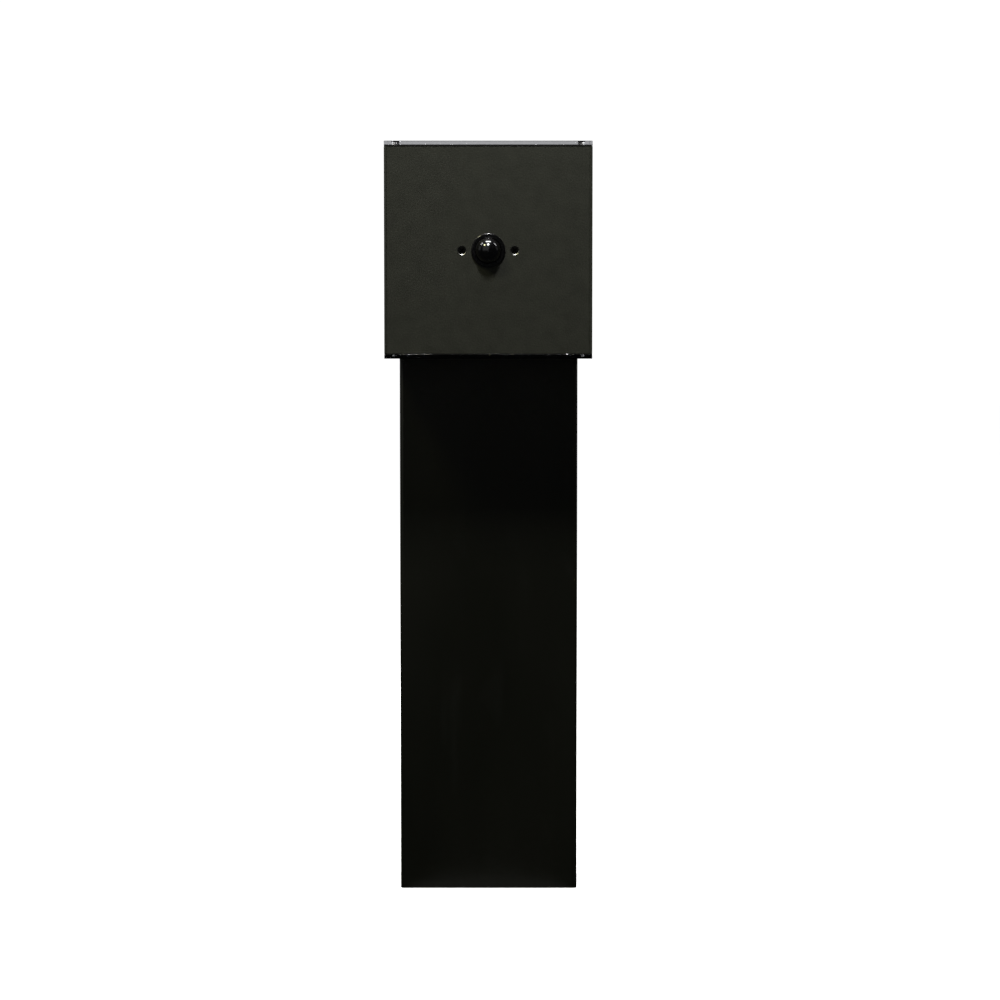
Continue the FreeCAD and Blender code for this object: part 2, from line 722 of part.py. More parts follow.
def make_bottom_lens():
    """Clear plate under the cantilevered half of the head, with its gasket and screws."""
    depth = "lens_back - head_front"
    middle = "(lens_back + head_front) / 2"
    holes = [("screw_diameter + hole_clearance", x, y) for x, y in lens_screw_places()]
    plate = flat_plate("lens_body", "head_width", depth, "lens_thickness", "lens_bottom", middle, holes=holes)
    sinks = [cone("lens_sink", "screw_head_diameter + 0.4", "screw_diameter", "screw_head_diameter / 4 + 0.1",
                  x, y, "lens_bottom", "up") for x, y in lens_screw_places()]
    node(cut("lens_cut", plate, sinks), "bottom_lens")
    window = ("2 * window_side", "lens_window_back - rail_front", "0", "(lens_window_back + rail_front) / 2")
    gasket = flat_plate("lens_gasket_body", "head_width - 2 * gasket_inset", depth + " - 2 * gasket_inset",
                        "lens_gasket_thickness", "lens_top", middle, [window], holes)
    node(gasket, "bottom_gasket")
    screws = [countersunk_screw("lens_screw", "screw_diameter", "screw_head_diameter", "screw_length - 2",
                                x, y, "lens_bottom", "up") for x, y in lens_screw_places()]
    group("bottom_lens_screws", screws)


def sink_screw_rows():
    yield "rail_front + sink_screw_inset"
    yield "sink_back - sink_screw_inset"


def make_heat_sink():
    """Finned aluminium bridge between the side rails, carrying the light board face down."""
    plate = block("sink_plate_block", ("-inner_side + seam_gap", "inner_side - seam_gap"),
                  ("rail_front + seam_gap", "sink_back"), ("sink_bottom", "sink_top"))
    fins = []
    for index in range(FIN_COUNT):
        x = f"({index} - {(FIN_COUNT - 1) / 2}) * (board_width - 24) / {FIN_COUNT - 1}"
        fins.append(block("sink_fin", (f"{x} - fin_thickness / 2", f"{x} + fin_thickness / 2"),
                          ("rail_front + 4", "sink_back - 4"), ("sink_top", "sink_top + fin_height")))
    solid = fuse("sink_solid", [plate] + fins)
    places = [(sign + "rail_x", y) for sign in SIDES.values() for y in sink_screw_rows()]
    holes = [rod("sink_hole", "screw_diameter + hole_clearance", "sink_plate + 4", x, y, "sink_bottom - 2")
             for x, y in places]
    holes.append(rod("sink_lead_hole", "cable_diameter + 4", "sink_plate + 4", "led_lead_x", "board_middle_y",
                     "sink_bottom - 2"))
    node(cut("sink_drilled", solid, holes), "led_heat_sink")
    screws = [button_screw("sink_screw", "screw_diameter", "sink_plate + 6", x, y, "sink_top", "down")
              for x, y in places]
    group("heat_sink_screws", screws)


def chip_places():
    for column in range(CHIP_COLUMNS):
        for row in range(CHIP_ROWS):
            x = f"({column} - {(CHIP_COLUMNS - 1) / 2}) * board_width / {CHIP_COLUMNS + 0.5}"
            y = f"board_middle_y + ({row} - {(CHIP_ROWS - 1) / 2}) * board_depth / {CHIP_ROWS + 0.3}"
            yield x, y


def board_screw_places():
    x = "(board_width / 2 - board_screw_inset)"
    y = "(board_depth / 2 - board_screw_inset)"
    for x_sign in ("-", ""):
        for y_sign in ("-", "+"):
            yield x_sign + x, f"board_middle_y {y_sign} {y}"


def make_light_board():
    """Metal-core board with its emitters, a lens over each, and four screws."""
    board = block("board_blank", ("-board_width / 2", "board_width / 2"),
                  ("board_middle_y - board_depth / 2", "board_middle_y + board_depth / 2"),
                  ("board_bottom", "sink_bottom"))
    holes = [rod("board_hole", "board_screw_diameter + 0.4", "board_thickness + 4", x, y, "board_bottom - 2")
             for x, y in board_screw_places()]
    node(cut("board_drilled", board, holes), "led_board")
    half = "chip_size / 2"
    chips = [block("chip", (f"{x} - {half}", f"{x} + {half}"), (f"{y} - {half}", f"{y} + {half}"),
                   ("chip_bottom", "board_bottom")) for x, y in chip_places()]
    group("led_chips", chips)
    optics = []
    for x, y in chip_places():
        bell = cone("optic_bell", "optic_diameter", "optic_diameter * 0.6", "optic_height")
        recess = block("optic_recess", (f"-{half} - 0.4", f"{half} + 0.4"), (f"-{half} - 0.4", f"{half} + 0.4"),
                       ("optic_height - chip_thickness - 0.4", "optic_height + 1"))
        optics.append(put(cut("optic", bell, [recess]), x, y, "board_bottom - optic_height"))
    group("led_optics", optics)
    screws = [button_screw("board_screw", "board_screw_diameter", "board_thickness", x, y, "board_bottom", "up")
              for x, y in board_screw_places()]
    group("led_board_screws", screws)


# ---------------------------------------------------------------- motion sensor
def make_sensor_collar():
    """Bezel with a rounded lip in front of the plate and a barrel through it."""
    lip = rod("collar_lip", "collar_diameter", "collar_height")
    lip = round_edges("collar_rounded", lip, value("collar_height") * 0.45,
                      lambda e: e.BoundBox.XLength > 1 and e.BoundBox.ZMax < 0.01)
    barrel = rod("collar_barrel", "barrel_diameter", "barrel_length")
    bore = rod("collar_bore", "neck_diameter + hole_clearance", "barrel_length + 2", z="-1")
    mouth = cone("collar_mouth", "dome_diameter + 2 * hole_clearance", "neck_diameter", "collar_height * 0.8")
    solid = cut("collar_cut", fuse("collar_solid", [lip, barrel]), [bore, mouth])
    node(put(solid, "0", "collar_front", "sensor_z", "back"), "sensor_collar")
    seal = ring("seal_ring", "barrel_diameter + 8", "barrel_diameter", "seal_thickness",
                "0", "plate_back", "sensor_z", "back")
    node(seal, "sensor_seal")
    lock = ring("lock_ring", "barrel_diameter + 10", "barrel_diameter", "lock_ring_width",
                "0", "plate_back + seal_thickness", "sensor_z", "back")
    node(lock, "sensor_lock_ring")


def make_sensor_dome():
    """Hollow hemisphere on a neck that screws into the collar."""
    ball = DOC.addObject("Part::Sphere", "dome_ball")
    bind(ball, "Radius", "dome_diameter / 2")
    ball.Angle1 = -90
    ball.Angle2 = 0
    neck = rod("dome_neck", "neck_diameter", "barrel_length * 0.75")
    hollow = DOC.addObject("Part::Sphere", "dome_hollow")
    bind(hollow, "Radius", "neck_diameter / 2 - dome_wall")
    bore = rod("dome_bore", "neck_diameter - 2 * dome_wall", "barrel_length")
    solid = cut("dome_cut", fuse("dome_solid", [ball, neck]), [fuse("dome_inside", [hollow, bore])])
    node(put(solid, "0", "dome_centre_y", "sensor_z", "back"), "sensor_dome")


def sensor_screw_places():
    for sign in SIDES.values():
        yield sign + "sensor_screw_spacing / 2"


def make_sensor_mount():
    """Rear bracket, spacers, screws and nuts, and the detector on its board."""
    board = rod("sensor_disc", "neck_diameter - 2 * dome_wall - 1", "board_thickness", "0", "detector_seat",
                "sensor_z", "back")
    node(board, "sensor_board")
    can = rod("sensor_can", "detector_diameter", "detector_height", "0", "detector_seat", "sensor_z", "front")
    node(round_edges("sensor_can_rounded", can, value("detector_height") / 8,
                     lambda e: e.BoundBox.YMax < value("detector_seat") - 1), "sensor_element")
    half_long = "sensor_screw_spacing / 2 + bracket_end"
    strap = block("bracket_strap", (f"-({half_long})", half_long),
                  ("bracket_front", "bracket_front + bracket_sheet"),
                  ("sensor_z - bracket_height / 2", "sensor_z + bracket_height / 2"))
    holes = [rod("bracket_hole", "sensor_screw_diameter + hole_clearance", "bracket_sheet + 4", x,
                 "bracket_front - 2", "sensor_z", "back") for x in sensor_screw_places()]
    holes.append(rod("bracket_lead_hole", "cable_diameter * 2", "bracket_sheet + 4", "0", "bracket_front - 2",
                     "sensor_z", "back"))
    node(cut("bracket_drilled", strap, holes), "sensor_bracket")
    spacers = [ring("spacer", "spacer_diameter", "sensor_screw_diameter + hole_clearance",
                    "bracket_front - plate_back", x, "plate_back", "sensor_z", "back")
               for x in sensor_screw_places()]
    group("sensor_spacers", spacers)
    screws = [countersunk_screw("sensor_screw", "sensor_screw_diameter", "sensor_screw_head",
                                "bracket_front + bracket_sheet + sensor_screw_diameter + 1 - head_front",
                                x, "head_front", "sensor_z", "back") for x in sensor_screw_places()]
    group("sensor_screws", screws)
    nuts = [hex_nut("sensor_nut", "sensor_screw_diameter", x, "bracket_front + bracket_sheet",
                    "sensor_z", "back") for x in sensor_screw_places()]
    group("sensor_nuts", nuts)


# ---------------------------------------------------------------- electrics
def make_controller():
    """Charge and light controller on the head's back wall, held by screws through its ears."""
    side = "controller_width / 2"
    case = block("controller_case", (f"-{side}", side), ("controller_front", "inner_back"),
                 ("controller_bottom", "controller_top"))
    case = round_edges("controller_rounded", case, 3,
                       lambda e: e.BoundBox.YLength > value("controller_depth") / 2)
    ears = block("controller_ears", (f"-{side} - controller_ear", f"{side} + controller_ear"),
                 ("inner_back - controller_ear_sheet", "inner_back"),
                 ("controller_bottom + controller_ear", "controller_top - controller_ear"))
    places = [(sign + f"({side} + controller_ear / 2)", z) for sign in SIDES.values()
              for z in ("controller_bottom + 1.5 * controller_ear", "controller_top - 1.5 * controller_ear")]
    holes = [rod("controller_hole", "screw_diameter + 0.4", "controller_ear_sheet + 3", x,
                 "inner_back - controller_ear_sheet - 2", z, "back") for x, z in places]
    node(cut("controller_drilled", fuse("controller_solid", [case, ears]), holes), "charge_controller")
    screws = [button_screw("controller_screw", "screw_diameter", "controller_ear_sheet", x,
                           "inner_back - controller_ear_sheet", z, "back") for x, z in places]
    group("controller_screws", screws)


def tray_screw_places():
    for sign in SIDES.values():
        yield sign + "tray_screw_x"


def make_battery():
    """Battery pack on an angle tray that hangs on the post's rear wall, with a strap."""
    width = ("-battery_width / 2", "battery_width / 2")
    sheet = "battery_tray_sheet"
    pack = block("pack_block", width, ("battery_front", "battery_back"), ("battery_floor", "battery_top"))
    node(round_edges("pack_rounded", pack, 4, is_upright), "battery_pack")
    wall = block("tray_wall", width, ("battery_back", "post_inner_back"),
                 (f"battery_floor - {sheet}", "battery_top + battery_tray_head"))
    floor = block("tray_shelf", width, (f"battery_front - seam_gap - {sheet}", "post_inner_back"),
                  (f"battery_floor - {sheet}", "battery_floor"))
    lip = block("tray_lip", width, (f"battery_front - seam_gap - {sheet}", "battery_front - seam_gap"),
                (f"battery_floor - {sheet}", "battery_floor + battery_tray_lip"))
    holes = [rod("tray_hole", "post_screw_diameter", f"{sheet} + 2", x, "battery_back - 1",
                 "tray_screw_z", "back") for x in tray_screw_places()]
    node(cut("tray_drilled", fuse("tray_solid", [wall, floor, lip]), holes), "battery_tray")
    screws = [button_screw("tray_screw", "post_screw_diameter", f"post_wall + {sheet}", x, "post_depth / 2",
                           "tray_screw_z", "front") for x in tray_screw_places()]
    group("battery_tray_screws", screws)
    low = "(battery_floor + battery_top - strap_width) / 2"
    outer = block("strap_outer", ("-battery_width / 2 - strap_sheet", "battery_width / 2 + strap_sheet"),
                  ("battery_front - strap_sheet", "battery_back"), (low, f"{low} + strap_width"))
    inner = block("strap_inner", width, ("battery_front", "battery_back + 1"),
                  (f"{low} - 1", f"{low} + strap_width + 1"))
    node(cut("strap_band", outer, [inner]), "battery_strap")


def make_grommet():
    """Rubber bush in the base plate's cable hole."""
    sleeve = rod("grommet_sleeve", "cable_hole_diameter - seam_gap", "base_plate_thickness",
                 z="base_plate_bottom")
    brim = rod("grommet_edge", "cable_hole_diameter + 8", "grommet_brim", z="shell_bottom")
    bore = rod("grommet_bore", "cable_diameter", "base_plate_thickness + grommet_brim + 4",
               z="base_plate_bottom - 2")
    node(cut("grommet_cut", fuse("grommet_solid", [sleeve, brim]), [bore]), "cable_grommet")


def routed_cable(name, points, diameter):
    """A round cable along straight runs joined by tangent arcs as large as the runs allow."""
    points = [FreeCAD.Vector(*point) for point in points]
    edges = []
    start = points[0]
    for before, corner, after in zip(points, points[1:], points[2:]):
        incoming = (corner - before).normalize()
        outgoing = (after - corner).normalize()
        turn = incoming.getAngle(outgoing)
        shorter = min((corner - before).Length, (after - corner).Length)
        setback = 0.45 * shorter
        arc_start = corner - incoming * setback
        arc_end = corner + outgoing * setback
        radius = setback / math.tan(turn / 2)
        inward = (outgoing - incoming).normalize()
        middle = corner + inward * (radius / math.cos(turn / 2) - radius)
        edges.append(Part.LineSegment(start, arc_start).toShape())
        edges.append(Part.Arc(arc_start, middle, arc_end).toShape())
        start = arc_end
    edges.append(Part.LineSegment(start, points[-1]).toShape())
    path = Part.Wire(edges)
    section = Part.Wire(Part.makeCircle(diameter / 2, points[0], points[1] - points[0]))
    tube = path.makePipeShell([section], True, False)
    wanted = math.pi * diameter ** 2 / 4 * path.Length
    if abs(tube.Volume - wanted) > 0.02 * wanted:
        raise RuntimeError(name + ": the cable's volume is not its section times its length")
    feature = DOC.addObject("Part::Feature", name)
    feature.Shape = tube
    feature.Placement = FreeCAD.Placement()
    return node(feature, name)


def make_cables():
    """The four leads the casing holds, each square out of one face and square into another."""
    diameter = value("cable_diameter")
    low, high = value("controller_bottom"), value("controller_top")
    lead_y = value("controller_front") + value("controller_depth") / 2
    junction_bottom = value("junction_bottom")
    junction_x, junction_y = value("panel_lead_x"), value("panel_lead_y")
    drop = (junction_bottom - high) / 3
    routed_cable("solar_cable", [
        (junction_x, junction_y, junction_bottom),
        (junction_x, junction_y, junction_bottom - drop),
        (junction_x + 4, lead_y, high + drop),
        (junction_x + 4, lead_y, high)], diameter)
    board_x, board_y = value("led_lead_x"), value("board_middle_y")
    sink = value("sink_bottom")
    fall = low - sink
    routed_cable("led_cable", [
        (board_x, board_y, sink),
        (board_x, board_y, sink + 34),
        (board_x + 4, board_y + 34, sink + 58),
        (board_x + 6, lead_y - 30, sink + fall * 0.6),
        (board_x + 8, lead_y, low - 24),
        (board_x + 8, lead_y, low)], diameter)
    sensor_z = value("sensor_z")
    board_back = value("detector_seat") + value("board_thickness")
    reach = value("controller_front") - board_back
    routed_cable("sensor_cable", [
        (0, board_back, sensor_z),
        (0, board_back + reach * 0.2, sensor_z),
        (2, board_back + reach * 0.42, sensor_z - 9),
        (4, board_back + reach * 0.64, sensor_z - 6),
        (5, board_back + reach * 0.82, sensor_z + 2),
        (5, value("controller_front"), sensor_z + 2)], diameter)
    floor = value("shell_bottom")
    top = value("battery_top")
    pack_y = (value("battery_front") + value("battery_back")) / 2
    routed_cable("battery_cable", [
        (24, lead_y, low),
        (24, lead_y, low - 26),
        (14, lead_y - 24, low - 54),
        (0, 0, floor + 26),
        (0, 0, floor - 26),
        (5, pack_y - 3, (floor + top) / 2 + 12),
        (10, pack_y, (floor + top) / 2 - 34),
        (10, pack_y, top)], diameter)


# ---------------------------------------------------------------- post and base
def make_post():
    """Rectangular tube; its side walls and rear wall are drilled for the fixing screws."""
    body = new_body("post_body")
    outline = new_sketch(body, "XY_Plane", "0")
    draw_rectangle(outline, "post_width", "post_depth")
    pad(body, outline, "post_height")
    fillet(body, "post_corner_radius", is_upright)
    inside = new_sketch(body, "XY_Plane", "post_height")
    draw_rectangle(inside, "post_width - 2 * post_wall", "post_depth - 2 * post_wall")
    pocket(body, inside)
    side_holes = [rod("post_side_hole", "post_screw_diameter + hole_clearance", "post_width + 4",
                      "-post_width / 2 - 2", y, "post_screw_rise", "right") for y in post_screw_rows()]
    side_holes += [cone("post_side_sink", "post_screw_head + 0.2", "post_screw_diameter",
                        "post_screw_head / 4 + 0.05", x, y, "post_screw_rise", way)
                   for x, way in POST_SIDES for y in post_screw_rows()]
    rear_holes = [rod("post_rear_hole", "post_screw_diameter + hole_clearance", "post_wall + 4", x,
                      "post_inner_back - 2", "tray_screw_z", "back") for x in tray_screw_places()]
    node(cut("post_drilled", body, side_holes + rear_holes), "post_tube")


POST_SIDES = (("-post_width / 2", "right"), ("post_width / 2", "left"))


def post_screw_rows():
    yield "-post_screw_spacing / 2"
    yield "post_screw_spacing / 2"


def make_neck():
    """Flange welded in the post's mouth, the neck gasket, and the bolts that hold the head."""
    bolt_holes = [("head_bolt_diameter", x, y) for x, y in head_bolt_places()]
    clear_holes = [("head_bolt_diameter + hole_clearance", x, y) for x, y in head_bolt_places()]
    flange = flat_plate("top_flange_body", "2 * post_inner_side", "2 * post_inner_back", "top_flange_thickness",
                        "top_flange_bottom", holes=bolt_holes + [("cable_hole_diameter", "0", "0")])
    node(flange, "post_top_flange")
    gasket = flat_plate("neck_body", "post_width - 2 * gasket_inset", "post_depth - 2 * gasket_inset",
                        "neck_gasket_thickness", "post_height",
                        holes=clear_holes + [("cable_hole_diameter", "0", "0")])
    node(gasket, "neck_gasket")
    length = "washer_thickness + base_plate_thickness + neck_gasket_thickness + top_flange_thickness + 2"
    bolts = [hex_bolt("head_bolt", "head_bolt_diameter", length, x, y, "shell_bottom + washer_thickness")
             for x, y in head_bolt_places()]
    group("head_bolts", bolts)
    washers = [ring("head_washer", "head_bolt_diameter * 2.1", "head_bolt_diameter + 0.4", "washer_thickness",
                    x, y, "shell_bottom") for x, y in head_bolt_places()]
    group("head_bolt_washers", washers)


def anchor_places():
    for x in ("-anchor_spacing_x / 2", "anchor_spacing_x / 2"):
        for y in ("-anchor_spacing_y / 2", "anchor_spacing_y / 2"):
            yield x, y


def make_anchor_base():
    """Plate bolted to the footing, with two upright tabs that the post drops over."""
    side = "post_inner_side - seam_gap"
    holes = [("anchor_hole_diameter", x, y) for x, y in anchor_places()]
    plate = flat_plate("anchor_body", f"2 * ({side})", "2 * (post_inner_back - seam_gap)",
                       "anchor_plate_thickness", "0", holes=holes)
    half = "anchor_tab_width / 2"
    tabs = []
    for low, high in ((f"-({side})", f"-({side}) + anchor_tab_thickness"),
                      (f"{side} - anchor_tab_thickness", side)):
        tabs.append(block("anchor_tab", (low, high), (f"-{half}", half),
                          ("anchor_plate_thickness", "anchor_plate_thickness + anchor_tab_height")))
    threads = [rod("anchor_thread", "post_screw_diameter", "post_width", "-post_width / 2", y,
                   "post_screw_rise", "right") for y in post_screw_rows()]
    node(cut("anchor_cut", fuse("anchor_solid", [plate] + tabs), threads), "anchor_base")
    screws = []
    for x, way in POST_SIDES:
        for y in post_screw_rows():
            screws.append(countersunk_screw("post_screw", "post_screw_diameter", "post_screw_head",
                                            "post_wall + anchor_tab_thickness", x, y, "post_screw_rise", way))
    group("post_screws", screws)


# ---------------------------------------------------------------- build, check and write
SIZE_SHEET, PLACE_SHEET = make_sheets()
make_head_shell()
make_front_plate()
make_corner_posts()
make_side_rails()
make_base_plate()
make_vent_plug()
make_top_cover()
make_solar_tray()
make_solar_panel()
make_bottom_lens()
make_heat_sink()
make_light_board()
make_sensor_collar()
make_sensor_dome()
make_sensor_mount()
make_controller()
make_battery()
make_grommet()
make_cables()
make_post()
make_neck()
make_anchor_base()
DOC.recompute()

for feature in DOC.Objects:
    if "Invalid" in feature.State or "Error" in feature.State:
        raise RuntimeError(f"{feature.Label} failed: {feature.State}")
for part in NODES:
    if part.Shape.isNull() or not part.Shape.isValid() or not part.Shape.Solids:
        raise RuntimeError(part.Label + " has no valid solid")

os.makedirs("parts", exist_ok=True)
for part in NODES:
    part.Shape.exportStep(f"parts/{part.Label}.step")
print(len(NODES), "nodes")
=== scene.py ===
import json
import math

import bmesh
import bpy
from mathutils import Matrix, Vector, noise


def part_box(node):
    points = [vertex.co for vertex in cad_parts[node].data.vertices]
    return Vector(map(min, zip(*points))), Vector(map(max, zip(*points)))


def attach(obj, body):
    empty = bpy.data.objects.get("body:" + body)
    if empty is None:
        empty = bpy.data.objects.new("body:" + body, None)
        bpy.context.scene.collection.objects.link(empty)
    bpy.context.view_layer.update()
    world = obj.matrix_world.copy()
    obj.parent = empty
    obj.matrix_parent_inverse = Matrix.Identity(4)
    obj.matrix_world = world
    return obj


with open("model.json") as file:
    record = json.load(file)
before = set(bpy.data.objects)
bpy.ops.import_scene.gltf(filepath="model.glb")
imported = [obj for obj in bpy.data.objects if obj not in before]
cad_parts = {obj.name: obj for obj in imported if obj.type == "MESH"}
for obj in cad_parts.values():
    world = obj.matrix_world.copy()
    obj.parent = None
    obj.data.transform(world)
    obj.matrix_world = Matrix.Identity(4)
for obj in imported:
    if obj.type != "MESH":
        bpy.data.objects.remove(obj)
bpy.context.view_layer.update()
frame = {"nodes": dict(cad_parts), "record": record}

BODY = "root"
MM = 0.001
NODES = frame["nodes"]


# ---------------------------------------------------------------- material building blocks
class Surface:
    """One procedural material: a principled shader and helpers that add detail to it."""

    def __init__(self, name):
        self.material = bpy.data.materials.new(name)
        self.material.use_nodes = True
        self.tree = self.material.node_tree
        self.shader = self.tree.nodes["Principled BSDF"]
        self.output = self.tree.nodes["Material Output"]
        self.place = self.add("ShaderNodeTexCoord").outputs["Object"]

    def add(self, kind, **settings):
        node = self.tree.nodes.new(kind)
        for key, value in settings.items():
            setattr(node, key, value)
        return node

    def link(self, source, target):
        self.tree.links.new(source, target)

    def set(self, **values):
        """Sets plain numbers on the shader's own sockets."""
        for key, value in values.items():
            self.shader.inputs[key.replace("_", " ")].default_value = value
        return self

    def noise(self, scale, detail=4.0, stretch=(1, 1, 1), distortion=0.0):
        mapping = self.add("ShaderNodeMapping")
        mapping.inputs["Scale"].default_value = stretch
        self.link(self.place, mapping.inputs["Vector"])
        texture = self.add("ShaderNodeTexNoise")
        texture.inputs["Scale"].default_value = scale
        texture.inputs["Detail"].default_value = detail
        texture.inputs["Distortion"].default_value = distortion
        self.link(mapping.outputs["Vector"], texture.inputs["Vector"])
        return texture.outputs["Fac"]

    def ramp(self, source, stops):
        """Turns a 0 to 1 field into colours between (position, colour) stops."""
        ramp = self.add("ShaderNodeValToRGB")
        elements = ramp.color_ramp.elements
        while len(elements) < len(stops):
            elements.new(0.5)
        for element, (position, colour) in zip(elements, stops):
            element.position = position
            element.color = (*colour, 1.0)
        self.link(source, ramp.inputs["Fac"])
        return ramp.outputs["Color"]

    def spread(self, source, low, high, start=0.3, end=0.7):
        """Maps the part of a field between start and end to a number from low to high."""
        node = self.add("ShaderNodeMapRange")
        node.inputs["From Min"].default_value = start
        node.inputs["From Max"].default_value = end
        node.inputs["To Min"].default_value = low
        node.inputs["To Max"].default_value = high
        self.link(source, node.inputs["Value"])
        return node.outputs["Result"]

    def choose(self, factor, first, second):
        """The first colour where the factor is 0, the second where it is 1."""
        node = self.add("ShaderNodeMix", data_type="RGBA")
        sockets = {socket.identifier: socket for socket in node.inputs}
        self.link(factor, sockets["Factor_Float"])
        self.link(first, sockets["A_Color"])
        self.link(second, sockets["B_Color"])
        return next(socket for socket in node.outputs if socket.identifier == "Result_Color")

    def math(self, operation, first, second=0.0):
        node = self.add("ShaderNodeMath", operation=operation)
        for socket, value in zip(node.inputs, (first, second)):
            if isinstance(value, (int, float)):
                socket.default_value = value
            else:
                self.link(value, socket)
        return node.outputs["Value"]

    def blend(self, first, second, share):
        """A weighted sum of two fields, with that share of the first."""
        return self.math("ADD", self.math("MULTIPLY", first, share), self.math("MULTIPLY", second, 1 - share))

    def absorb(self, colour, density):
        """Clear plastic that darkens with depth: pale through its face, dark along its edge."""
        volume = self.add("ShaderNodeVolumeAbsorption")
        volume.inputs["Color"].default_value = (*colour, 1.0)
        volume.inputs["Density"].default_value = density
        self.link(volume.outputs["Volume"], self.output.inputs["Volume"])
        return self

    def colour(self, source):
        self.link(source, self.shader.inputs["Base Color"])
        return self

    def roughness(self, source):
        self.link(source, self.shader.inputs["Roughness"])
        return self

    def bump(self, *layers):
        """Stacks bumps: each layer is (field, height in metres)."""
        last = None
        for field, height in layers:
            node = self.add("ShaderNodeBump")
            node.inputs["Strength"].default_value = 1.0
            node.inputs["Distance"].default_value = height
            self.link(field, node.inputs["Height"])
            if last:
                self.link(last, node.inputs["Normal"])
            last = node.outputs["Normal"]
        self.link(last, self.shader.inputs["Normal"])
        return self


def between(colour, spread):
    """A darker and a lighter version of a colour."""
    return [tuple(channel * (1 + side * spread) for channel in colour) for side in (-1, 1)]


# ---------------------------------------------------------------- material recipes
def plain(name, colour, vary, rough, grain, relief, metallic=0.0, stretch=(1, 1, 1), shine=0.5):
    """Colour, roughness and relief all vary with a fine grain and a broad mottle."""
    surface = Surface(name).set(Metallic=metallic, Specular_IOR_Level=shine)
    dark, light = between(colour, vary)
    broad = surface.noise(scale=14.0, detail=3.0)
    fine = surface.noise(scale=grain, detail=3.0, stretch=stretch)
    field = surface.blend(broad, fine, share=0.5)
    surface.colour(surface.ramp(field, [(0.38, dark), (0.62, light)]))
    surface.roughness(surface.spread(field, low=rough * 0.85, high=min(1.0, rough * 1.15)))
    return surface.bump((fine, relief))


def brushed(name, colour, rough, stretch=(1, 1, 30)):
    """Metal with a directional brush grain."""
    return plain(name, colour, 0.16, rough, grain=240.0, relief=0.04 * MM, metallic=1.0, stretch=stretch)


def textured_coat(name, colour, rough):
    """Fine-texture powder coat: a dense orange-peel grain with faint cloudy mottling."""
    surface = Surface(name).set(Specular_IOR_Level=0.20)
    dark, light = between(colour, 0.26)
    cloud = surface.noise(scale=55.0)
    speck = surface.noise(scale=900.0, detail=2.0)
    grain = surface.noise(scale=420.0)
    field = surface.blend(cloud, speck, share=0.3)
    surface.colour(surface.ramp(field, [(0.36, dark), (0.5, colour), (0.64, light)]))
    surface.roughness(surface.spread(cloud, low=rough - 0.05, high=rough + 0.06))
    return surface.bump((grain, 0.22 * MM), (speck, 0.08 * MM))


def satin_black(name, dark, light):
    """Smooth satin powder coat: near-black, faint long waviness, light handling marks."""
    surface = Surface(name).set(Specular_IOR_Level=0.40)
    cloud = surface.noise(scale=9.0, detail=3.0, stretch=(1, 1, 0.4))
    peel = surface.noise(scale=170.0, detail=2.0)
    scuff = surface.noise(scale=38.0, detail=6.0, stretch=(1, 1, 0.15), distortion=0.6)
    surface.colour(surface.ramp(cloud, [(0.3, dark), (0.7, light)]))
    sheen = surface.spread(cloud, low=0.33, high=0.38)
    marks = surface.spread(scuff, low=0.0, high=0.08, start=0.58, end=0.75)
    surface.roughness(surface.math("ADD", sheen, marks))
    return surface.bump((cloud, 0.4 * MM), (peel, 0.01 * MM))


def clear_sheet(name, tint, rough, wave, density=0.0):
    """Clear plastic: polished faces that are very slightly wavy, with a little dust."""
    surface = Surface(name).set(Transmission_Weight=1.0, IOR=1.49)
    if density:
        surface.absorb((0.5, 0.5, 0.51), density)
    waves = surface.noise(scale=24.0, detail=2.0)
    dust = surface.noise(scale=260.0, detail=5.0)
    dusty = tuple(channel * 0.93 for channel in tint)
    surface.colour(surface.ramp(dust, [(0.4, tint), (0.75, dusty)]))
    surface.roughness(surface.spread(dust, low=rough, high=rough + 0.04, start=0.5, end=0.8))
    return surface.bump((waves, wave))


def gloss_black(name, shine, coat):
    """Polished black plastic with a hint of moulding ripple."""
    surface = Surface(name).set(Specular_IOR_Level=shine, Coat_Weight=coat, Coat_Roughness=0.09)
    ripple = surface.noise(scale=60.0, detail=2.0)
    dust = surface.noise(scale=500.0)
    surface.colour(surface.ramp(dust, [(0.45, (0.0006, 0.0006, 0.0007)), (0.8, (0.003, 0.003, 0.003))]))
    surface.roughness(surface.spread(dust, low=0.14, high=0.24, start=0.5, end=0.8))
    return surface.bump((ripple, 0.12 * MM))


def silicon_cell(name, fingers_per_metre, finger_share):
    """Monocrystalline silicon: blue-black, with hairline silver fingers across it."""
    surface = Surface(name).set(Specular_IOR_Level=0.5, Coat_Weight=0.3, Coat_Roughness=0.08)
    split = surface.add("ShaderNodeSeparateXYZ")
    surface.link(surface.place, split.inputs["Vector"])
    phase = surface.math("FRACT", surface.math("MULTIPLY", split.outputs["Y"], fingers_per_metre))
    finger = surface.math("LESS_THAN", phase, finger_share)
    cloud = surface.noise(scale=18.0)
    silicon = surface.ramp(cloud, [(0.35, (0.003, 0.006, 0.026)), (0.65, (0.006, 0.011, 0.045))])
    silver = surface.ramp(cloud, [(0.3, (0.07, 0.08, 0.11)), (0.7, (0.11, 0.12, 0.16))])
    surface.colour(surface.choose(finger, silicon, silver))
    surface.roughness(surface.spread(cloud, low=0.22, high=0.34))
    return surface.bump((finger, 0.02 * MM))


